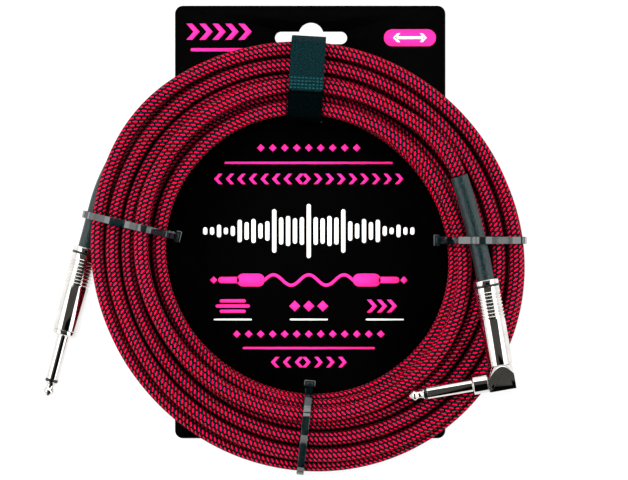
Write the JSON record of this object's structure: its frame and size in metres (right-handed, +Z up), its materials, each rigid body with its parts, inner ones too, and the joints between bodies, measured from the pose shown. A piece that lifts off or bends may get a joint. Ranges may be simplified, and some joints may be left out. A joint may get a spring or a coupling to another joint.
{
  "type": "instrument cable",
  "caption": "Coiled braided instrument cable with a straight and a right-angle jack plug, tied with a hook-and-loop strap to a hanging retail card.",
  "frame": {"origin": "middle of the cabled card's box at its underside, the plane the ties and the strap rest on, with the cord left out", "axes": "+Z up out of the card's printed face, +Y towards the card's hang slot, +X to the right with the printed face towards the viewer"},
  "size_m": [0.2399, 0.2334, 0.042],
  "materials": {
    "card_board": "black printed board, satin varnish",
    "braided_jacket": "woven braid, dark red with black diagonal flecks",
    "bright_nickel": "bright nickel plate, ribbed grip",
    "black_insulating_ring": "black moulded ring, satin",
    "fibre_washer": "brown pressed fibre",
    "tinned_brass": "tinned solder tags",
    "inner_jacket": "matt inner jacket and core",
    "clear_insulating_sleeve": "milky thin plastic tube",
    "black_sleeving": "shrunk sleeving, soft sheen",
    "black_nylon": "moulded nylon, glossy",
    "hook_and_loop_tape": "woven tape with fuzzy loop face"
  },
  "bodies": {
    "hung_cable": {"hang_card": "card_board", "cable_coil": "braided_jacket", "straight_lead": "braided_jacket", "angle_lead": "braided_jacket", "straight_tip": "bright_nickel", "straight_tip_ring": "black_insulating_ring", "straight_shaft": "bright_nickel", "straight_washer": "fibre_washer", "straight_tip_tag": "tinned_brass", "straight_ground_tag": "tinned_brass", "straight_core": "inner_jacket", "straight_sleeving": "black_sleeving", "angle_tip": "bright_nickel", "angle_tip_ring": "black_insulating_ring", "angle_shaft": "bright_nickel", "angle_elbow": "bright_nickel", "angle_washer": "fibre_washer", "angle_tip_tag": "tinned_brass", "angle_ground_tag": "tinned_brass", "angle_core": "inner_jacket", "angle_sleeving": "black_sleeving", "left_tie": "black_nylon", "right_tie": "black_nylon", "bottom_tie": "black_nylon", "strap_tape": "hook_and_loop_tape"},
    "straight_insulator": {"straight_insulator": "clear_insulating_sleeve"},
    "straight_barrel": {"straight_barrel": "bright_nickel", "straight_barrel_ring": "black_insulating_ring"},
    "angle_insulator": {"angle_insulator": "clear_insulating_sleeve"},
    "angle_barrel": {"angle_barrel": "bright_nickel", "angle_barrel_ring": "black_insulating_ring"},
    "strap_flap": {"strap_flap": "hook_and_loop_tape"}
  },
  "joints": [
    {"name": "straight_draw", "type": "slide", "parent": "hung_cable", "child": "straight_insulator", "axis": [0.2555, 0.9668, 0], "range_m": [0, 0.0048]},
    {"name": "straight_turn", "type": "hinge", "parent": "straight_insulator", "child": "straight_barrel", "pos_m": [-0.0985, -0.0033, 0.0068], "axis": [0.2555, 0.9668, 0], "range_deg": [0, 2160]},
    {"name": "angle_draw", "type": "slide", "parent": "hung_cable", "child": "angle_insulator", "axis": [-0.1736, 0.9848, 0], "range_m": [0, 0.0048]},
    {"name": "angle_turn", "type": "hinge", "parent": "angle_insulator", "child": "angle_barrel", "pos_m": [0.1067, -0.0675, 0.03547], "axis": [-0.1736, 0.9848, 0], "range_deg": [0, 2160]},
    {"name": "strap_peel", "type": "hinge", "parent": "hung_cable", "child": "strap_flap", "pos_m": [0.01191, 0.09691, 0.02577], "axis": [-0.9984, 0.0558, 0], "range_deg": [0, 110]}
  ],
  "couplings": [
    {"joint": "straight_draw", "follows": "straight_turn", "m_per_rad": 0.00012732},
    {"joint": "angle_draw", "follows": "angle_turn", "m_per_rad": 0.00012732}
  ]
}
